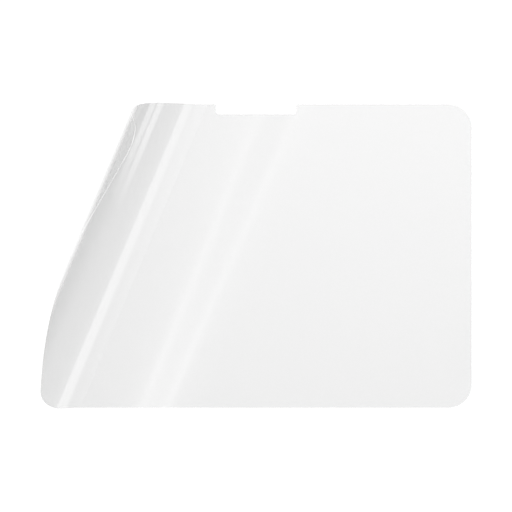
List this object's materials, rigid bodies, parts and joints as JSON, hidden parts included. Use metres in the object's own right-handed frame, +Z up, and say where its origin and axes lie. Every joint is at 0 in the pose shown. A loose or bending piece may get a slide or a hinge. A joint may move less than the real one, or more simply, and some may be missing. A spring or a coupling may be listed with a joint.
{
  "type": "tablet screen protector film",
  "caption": "Thin rounded rectangular film with a shallow camera notch in one long edge, lying flat with one end rolled up and over.",
  "frame": {"origin": "centre of the flat film's outline, on the adhesive face", "axes": "+X along the long edges, away from the rolled end; +Y towards the edge with the camera notch; +Z up from the adhesive face to the front face"},
  "size_m": [0.24, 0.1711, 0.0642],
  "materials": {
    "film": "clear film with a fine satin surface"
  },
  "bodies": {
    "root": {"film": "film"}
  },
  "joints": []
}
